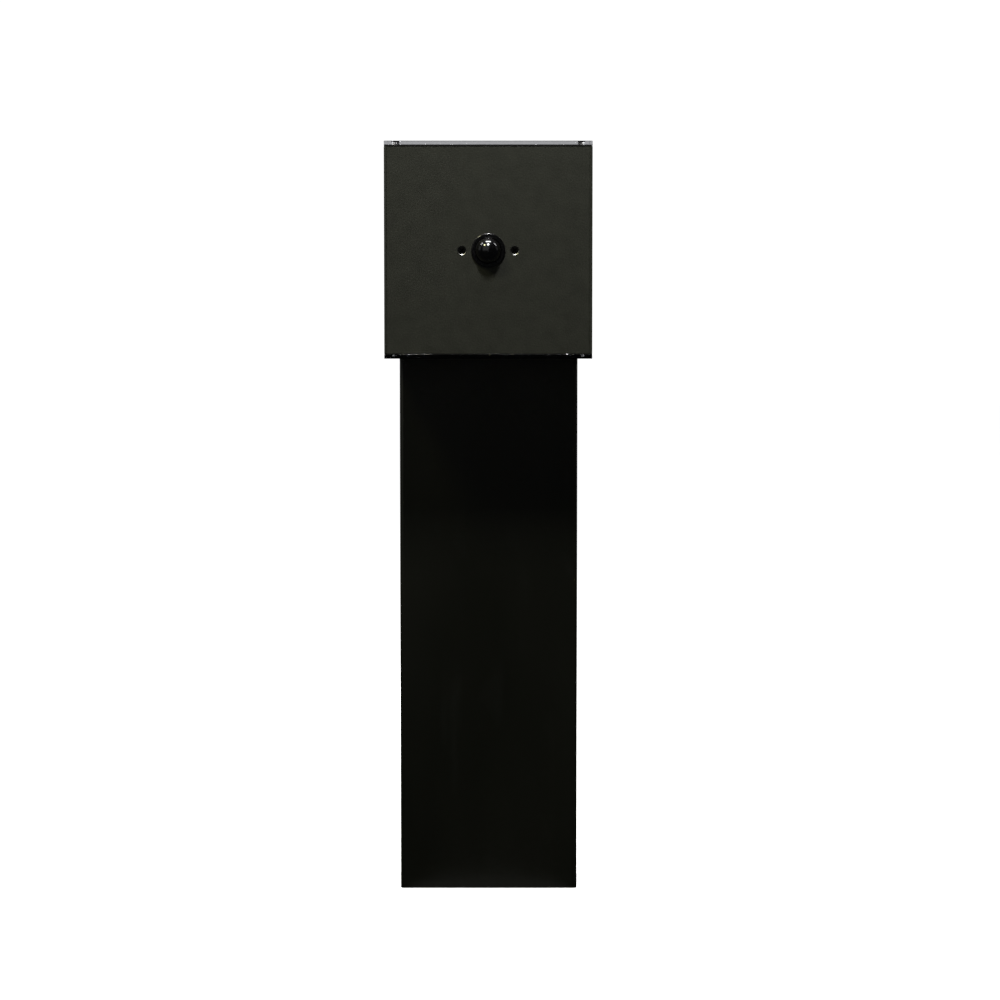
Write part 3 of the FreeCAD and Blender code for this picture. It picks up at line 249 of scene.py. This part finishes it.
# ---------------------------------------------------------------- one material for each slot
RECIPES = {
    # painted outside
    "textured_panel": (textured_coat, dict(colour=(0.0160, 0.0167, 0.0125), rough=0.64)),
    "casing_paint": (textured_coat, dict(colour=(0.0150, 0.0157, 0.0118), rough=0.62)),
    "post_paint": (satin_black, dict(dark=(0.0027, 0.0029, 0.0015), light=(0.0037, 0.0039, 0.0022))),
    # clear plastics
    "clear_cover": (clear_sheet, dict(tint=(0.93, 0.935, 0.95), rough=0.05, wave=0.16 * MM, density=8.0)),
    "lens_plate": (clear_sheet, dict(tint=(0.62, 0.64, 0.66), rough=0.03, wave=0.6 * MM, density=60.0)),
    "clear_optic": (clear_sheet, dict(tint=(0.96, 0.97, 0.97), rough=0.03, wave=0.1 * MM)),
    # rubbers, opaque plastics and webbing
    "black_rubber": (plain, dict(colour=(0.005, 0.005, 0.0045), vary=0.3, rough=0.8, grain=700.0,
                                 relief=0.08 * MM, shine=0.12)),
    "sensor_gloss": (gloss_black, dict(shine=0.5, coat=0.5)),
    "sealant": (gloss_black, dict(shine=0.7, coat=0.5)),
    "black_plastic": (plain, dict(colour=(0.018, 0.018, 0.018), vary=0.2, rough=0.5, grain=520.0,
                                  relief=0.06 * MM)),
    "grey_case": (plain, dict(colour=(0.09, 0.09, 0.10), vary=0.15, rough=0.55, grain=450.0,
                              relief=0.06 * MM)),
    "battery_wrap": (plain, dict(colour=(0.02, 0.06, 0.20), vary=0.2, rough=0.28, grain=60.0,
                                 relief=0.2 * MM)),
    "strap_webbing": (plain, dict(colour=(0.02, 0.02, 0.022), vary=0.3, rough=0.85, grain=900.0,
                                  relief=0.2 * MM, stretch=(1, 1, 4))),
    "cable_jacket": (plain, dict(colour=(0.012, 0.012, 0.012), vary=0.2, rough=0.55, grain=400.0,
                                 relief=0.04 * MM)),
    # metals
    "stainless": (brushed, dict(colour=(0.50, 0.49, 0.47), rough=0.42)),
    "bare_aluminium": (brushed, dict(colour=(0.72, 0.73, 0.74), rough=0.38)),
    "bright_can": (brushed, dict(colour=(0.74, 0.72, 0.66), rough=0.22)),
    "ribbon": (brushed, dict(colour=(0.70, 0.70, 0.72), rough=0.3, stretch=(30, 1, 1))),
    "screw_cup": (brushed, dict(colour=(0.17, 0.17, 0.16), rough=0.34, stretch=(1, 1, 1))),
    "black_screw": (plain, dict(colour=(0.0015, 0.0015, 0.0014), vary=0.35, rough=0.45, grain=600.0,
                                relief=0.03 * MM, shine=0.05)),
    "galvanised": (plain, dict(colour=(0.46, 0.47, 0.48), vary=0.22, rough=0.48, grain=45.0,
                               relief=0.05 * MM, metallic=0.9)),
    # boards and what sits on them
    "panel_board": (plain, dict(colour=(0.012, 0.013, 0.018), vary=0.3, rough=0.3, grain=300.0,
                                relief=0.03 * MM)),
    "solar_cell": (silicon_cell, dict(fingers_per_metre=480.0, finger_share=0.10)),
    "white_board": (plain, dict(colour=(0.78, 0.78, 0.75), vary=0.05, rough=0.4, grain=500.0,
                                relief=0.02 * MM)),
    "green_board": (plain, dict(colour=(0.02, 0.16, 0.06), vary=0.25, rough=0.35, grain=300.0,
                                relief=0.03 * MM)),
    "emitter": (plain, dict(colour=(0.82, 0.60, 0.12), vary=0.12, rough=0.4, grain=900.0,
                            relief=0.03 * MM)),
}
MATERIALS = {name: recipe(name, **values).material for name, (recipe, values) in RECIPES.items()}


def dress_nodes():
    """Gives every CAD node the material of its slot in the record."""
    slots = {entry["node"]: entry["material_slot"] for entry in frame["record"]["subparts"]}
    for name, node in NODES.items():
        node.data.materials.clear()
        node.data.materials.append(MATERIALS[slots[name]])


# ---------------------------------------------------------------- edge breaks on the CAD pieces
EDGE_BREAKS = {
    "front_plate": 0.5 * MM,
    "head_shell": 0.4 * MM,
    "top_cover": 0.5 * MM,
    "bottom_lens": 0.5 * MM,
    "head_base_plate": 0.5 * MM,
    "post_tube": 0.5 * MM,
}
WELD_DISTANCE = 0.01 * MM
BREAK_SEGMENTS = 2
SHARP_ANGLE = math.radians(50)


def break_edges():
    """Takes the sharpness off long edges, as coating and polishing do."""
    for name, width in EDGE_BREAKS.items():
        node = NODES[name]
        weld = node.modifiers.new("weld", "WELD")
        weld.merge_threshold = WELD_DISTANCE
        bevel = node.modifiers.new("edge_break", "BEVEL")
        bevel.width = width
        bevel.segments = BREAK_SEGMENTS
        bevel.limit_method = "ANGLE"
        bevel.angle_limit = SHARP_ANGLE


# ---------------------------------------------------------------- pieces too fine for the CAD
def add_piece(name, builder, material):
    """Turns a finished bmesh into a piece of the object."""
    mesh = bpy.data.meshes.new(name)
    bmesh.ops.recalc_face_normals(builder, faces=builder.faces)
    builder.to_mesh(mesh)
    builder.free()
    piece = bpy.data.objects.new(name, mesh)
    mesh.materials.append(MATERIALS[material])
    bpy.context.scene.collection.objects.link(piece)
    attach(piece, BODY)


def turns(count):
    """Evenly spaced angles round a full turn."""
    return [2 * math.pi * index / count for index in range(count)]


def loft(builder, rings, closed=False, smooth=False):
    """Joins rings of points into a skin; an open run gets a cap at each end."""
    verts = [[builder.verts.new(point) for point in ring] for ring in rings]
    pairs = list(zip(verts, verts[1:]))
    if closed:
        pairs.append((verts[-1], verts[0]))
    else:
        builder.faces.new(verts[0])
        builder.faces.new(verts[-1])
    for first, second in pairs:
        for index in range(len(first)):
            after = (index + 1) % len(first)
            face = builder.faces.new((first[index], first[after], second[after], second[index]))
            face.smooth = smooth


def add_box(builder, low, high):
    """A plain box between two corners."""
    loft(builder, [[(low[0], low[1], z), (high[0], low[1], z), (high[0], high[1], z), (low[0], high[1], z)]
                   for z in (low[2], high[2])])


# each point: radius as a share of the screw head's, and how far it stands in front of the head
CUP_PROFILE = ((0.93, 0.05 * MM), (1.10, 0.54 * MM), (1.06, 0.02 * MM), (0.98, 0.02 * MM))
CUP_STEPS = 64


def make_screw_cups():
    """A thin pressed cup round each sensor screw: its lower lip catches the light."""
    low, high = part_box("sensor_screws")
    head = (high.z - low.z) / 2
    middle = (low.z + high.z) / 2
    builder = bmesh.new()
    for centre in (low.x + head, high.x - head):
        loft(builder, [[(centre + head * radius * math.cos(turn), low.y - proud,
                         middle + head * radius * math.sin(turn)) for radius, proud in CUP_PROFILE]
                       for turn in turns(CUP_STEPS)], closed=True)
    add_piece("sensor_screw_cups", builder, "screw_cup")


SEALANT_GAP = 0.6 * MM
SEALANT_SIDES = 10
SEALANT_RADIUS = 0.62 * MM
SEALANT_DEPTH = 1.3 * MM
SEALANT_DROP = 0.9 * MM
# how often the bead swells, beads up and sags along a metre, and how far each one moves it
SWELLS_PER_METRE = 30
DROPS_PER_METRE = 300
SAGS_PER_METRE = 150
SWELL_REACH = 2.1 * MM
DROP_REACH = 1.6 * MM
DROP_FATTENING = 0.30 * MM
SAG_REACH = 0.4 * MM
# slides the swells along the bead: chosen by trial, to put the fullest near the middle and the left
SWELL_SHIFT = 41.07


def make_sealant_bead():
    """A hand-laid bead of glossy sealant under the front plate: it swells and beads up in places."""
    low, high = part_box("bottom_gasket")
    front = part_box("front_plate")[0].y
    count = int((high.x - low.x) / SEALANT_GAP)
    rings = []
    for index in range(count + 1):
        x = low.x + (high.x - low.x) * index / count
        swell = noise.noise(Vector((x * SWELLS_PER_METRE + SWELL_SHIFT, 1.3, 5)))
        drops = noise.noise(Vector((x * DROPS_PER_METRE, 7.7, 0)))
        sag = noise.noise(Vector((x * SAGS_PER_METRE, 9.2, 2)))
        radius = SEALANT_RADIUS + DROP_FATTENING * drops
        y = front + SEALANT_DEPTH - SWELL_REACH * swell - DROP_REACH * drops
        z = high.z - SEALANT_DROP + SAG_REACH * sag
        rings.append([(x, y + radius * math.sin(turn), z + radius * math.cos(turn))
                      for turn in turns(SEALANT_SIDES)])
    builder = bmesh.new()
    loft(builder, rings, smooth=True)
    add_piece("lens_sealant", builder, "sealant")


RIBBON_SHARES = (0.27, 0.73)
RIBBON_HALF_WIDTH = 0.7 * MM
RIBBON_THICKNESS = 0.15 * MM
RIBBON_INSET = 1.0 * MM
RIBBON_STEP = 0.4 * MM
RIBBON_OVERRUN = 3.0 * MM
BUS_WIDTH = 4.0 * MM
BUS_THICKNESS = 0.3 * MM
BUS_INSET = 4.0 * MM


def make_cell_ribbons():
    """Two tinned ribbons along each column of cells, joined by a wide ribbon at the rear."""
    low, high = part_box("solar_cells")
    cells = NODES["solar_cells"]
    edges = sorted({round((cells.matrix_world @ vertex.co).x, 5) for vertex in cells.data.vertices})
    board_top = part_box("solar_panel")[1].z
    bend = high.y + RIBBON_STEP
    rear = high.y + RIBBON_OVERRUN
    builder = bmesh.new()
    for left, right in zip(edges[::2], edges[1::2]):
        for share in RIBBON_SHARES:
            x = left + (right - left) * share
            near, far = x - RIBBON_HALF_WIDTH, x + RIBBON_HALF_WIDTH
            add_box(builder, (near, low.y + RIBBON_INSET, high.z), (far, rear, high.z + RIBBON_THICKNESS))
            add_box(builder, (near, bend, board_top), (far, rear, high.z))
    add_box(builder, (low.x + BUS_INSET, rear, board_top),
            (high.x - BUS_INSET, rear + BUS_WIDTH, board_top + BUS_THICKNESS))
    add_piece("cell_ribbons", builder, "ribbon")


# ---------------------------------------------------------------- floor and surroundings
def hide_underside(surface):
    """Makes the floor see-through from below, so that the object's underside can be looked at."""
    clear = surface.add("ShaderNodeBsdfTransparent")
    mix = surface.add("ShaderNodeMixShader")
    surface.link(surface.add("ShaderNodeNewGeometry").outputs["Backfacing"], mix.inputs["Fac"])
    surface.link(surface.shader.outputs["BSDF"], mix.inputs[1])
    surface.link(clear.outputs["BSDF"], mix.inputs[2])
    surface.link(mix.outputs["Shader"], surface.output.inputs["Surface"])
    return surface


FLOOR_RADIUS = 9.0
PATCH_RADIUS = 0.115
PATCH_DROP = 0.4 * MM
DISC_SIDES = 96


def add_disc(name, radius, height, surface, lights_object):
    """A round of floor; it either takes part in the object's light or is only looked at."""
    mesh = bpy.data.meshes.new(name)
    builder = bmesh.new()
    bmesh.ops.create_circle(builder, cap_ends=True, segments=DISC_SIDES, radius=radius)
    bmesh.ops.translate(builder, vec=(0, 0, height), verts=builder.verts)
    builder.to_mesh(mesh)
    builder.free()
    disc = bpy.data.objects.new(name, mesh)
    disc.data.materials.append(hide_underside(surface).material)
    disc.visible_glossy = lights_object
    disc.visible_diffuse = lights_object
    disc.visible_shadow = lights_object
    bpy.context.scene.collection.objects.link(disc)


def make_floor():
    """A pale disc under the object. Only a small patch at the foot throws light back at it."""
    matt = dict(vary=0.02, rough=0.9, grain=30.0, relief=0.1 * MM)
    pale = plain("pale_floor", (0.86, 0.86, 0.86), **matt)
    pale.set(Emission_Color=(1.0, 1.0, 1.0, 1.0), Emission_Strength=1.0)
    foot = plain("foot_floor", (0.18, 0.18, 0.18), **matt)
    add_disc("floor", FLOOR_RADIUS, 0.0, pale, lights_object=False)
    add_disc("foot_patch", PATCH_RADIUS, -PATCH_DROP, foot, lights_object=True)


DIM_STRENGTH = 0.018
WHITE_STRENGTH = 1.05


def add_background(tree, colour, strength):
    node = tree.nodes.new("ShaderNodeBackground")
    node.inputs["Color"].default_value = (*colour, 1.0)
    node.inputs["Strength"].default_value = strength
    return node.outputs["Background"]


def make_world():
    """White to look at and through, dim to everything else, so black paint stays black."""
    world = bpy.data.worlds.new("studio")
    world.use_nodes = True
    tree = world.node_tree
    rays = tree.nodes.new("ShaderNodeLightPath")
    either = tree.nodes.new("ShaderNodeMath")
    either.operation = "MAXIMUM"
    tree.links.new(rays.outputs["Is Camera Ray"], either.inputs[0])
    tree.links.new(rays.outputs["Is Transmission Ray"], either.inputs[1])
    mix = tree.nodes.new("ShaderNodeMixShader")
    tree.links.new(either.outputs["Value"], mix.inputs["Fac"])
    tree.links.new(add_background(tree, (0.9, 0.95, 1.0), DIM_STRENGTH), mix.inputs[1])
    tree.links.new(add_background(tree, (1.0, 1.0, 1.0), WHITE_STRENGTH), mix.inputs[2])
    tree.links.new(mix.outputs["Shader"], tree.nodes["World Output"].inputs["Surface"])
    bpy.context.scene.world = world


# ---------------------------------------------------------------- lights
WHITE = (1.0, 1.0, 1.0)
OLIVE = (1.0, 0.98, 0.60)

# name, azimuth (0 is straight in front), elevation, distance, width, height, watts, colour
LIGHTS = (
    ("key", 0, 58, 1.50, 0.16, 0.24, 29.5, WHITE),
    ("front_card", -24, 20, 3.00, 3.00, 2.00, 6.0, WHITE),
    ("overhead", 0, 90, 1.30, 0.70, 0.30, 15.0, WHITE),
    ("left_wash", -46, 48, 2.40, 0.50, 0.50, 21.0, OLIVE),
    ("left_side", -100, 46, 2.00, 0.50, 0.60, 16.0, WHITE),
    ("right_side", 101, 42, 2.00, 0.50, 0.60, 16.0, WHITE),
    ("left_wall", -92, 16, 2.60, 1.60, 1.20, 1.4, WHITE),
    ("right_wall", 94, 16, 2.80, 1.40, 1.20, 0.8, WHITE),
    ("back_left", -152, 42, 2.00, 0.60, 0.80, 30.0, WHITE),
    ("back_right", 160, 30, 2.20, 0.60, 0.80, 18.0, WHITE),
)
# the same, for light that reaches matt surfaces only and leaves no reflection
SOFT_LIGHTS = (
    ("under_left", -80, -42, 1.80, 1.00, 1.00, 8.0, WHITE),
    ("under_right", 80, -42, 1.80, 1.00, 1.00, 8.0, WHITE),
)


def add_light(target, reflected, name, azimuth, elevation, distance, width, height, watts, colour):
    """A soft rectangular light, aimed at the target from that direction."""
    light = bpy.data.lights.new(name, "AREA")
    light.shape = "RECTANGLE"
    light.size = width
    light.size_y = height
    light.energy = watts
    light.color = colour
    turn, rise = math.radians(azimuth), math.radians(elevation)
    away = Vector((math.sin(turn) * math.cos(rise), -math.cos(turn) * math.cos(rise), math.sin(rise)))
    lamp = bpy.data.objects.new(name, light)
    lamp.location = target + away * distance
    lamp.rotation_euler = away.to_track_quat("Z", "Y").to_euler()
    lamp.visible_glossy = reflected
    bpy.context.scene.collection.objects.link(lamp)


def make_lights():
    """Lights all round the object, aimed at the sensor."""
    sensor_low, sensor_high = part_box("sensor_dome")
    target = (sensor_low + sensor_high) / 2
    for entry in LIGHTS:
        add_light(target, True, *entry)
    for entry in SOFT_LIGHTS:
        add_light(target, False, *entry)


# ---------------------------------------------------------------- camera
SENSOR_WIDTH = 36.0
LENS_IN_SENSOR_WIDTHS = 3.82
CAMERA_OFFSET = 14.1 * MM
CAMERA_DISTANCE = 4.588
CAMERA_RISE = 7.5 * MM
CAMERA_PITCH = 5.38
CAMERA_REACH = 60.0


def make_camera():
    """Just above the head's top, in front, tipped down a little, with a long lens."""
    head_low, head_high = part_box("head_shell")
    data = bpy.data.cameras.new("camera")
    data.sensor_width = SENSOR_WIDTH
    data.lens = LENS_IN_SENSOR_WIDTHS * SENSOR_WIDTH
    data.clip_end = CAMERA_REACH
    camera = bpy.data.objects.new("camera", data)
    camera.location = (CAMERA_OFFSET, head_low.y - CAMERA_DISTANCE, head_high.z + CAMERA_RISE)
    camera.rotation_euler = (math.radians(90 - CAMERA_PITCH), 0, 0)
    bpy.context.scene.collection.objects.link(camera)
    bpy.context.scene.camera = camera


make_camera()
make_world()
make_floor()
make_lights()
dress_nodes()
break_edges()
make_screw_cups()
make_sealant_bead()
make_cell_ribbons()
bpy.context.scene.view_settings.view_transform = "Standard"

bpy.context.view_layer.update()
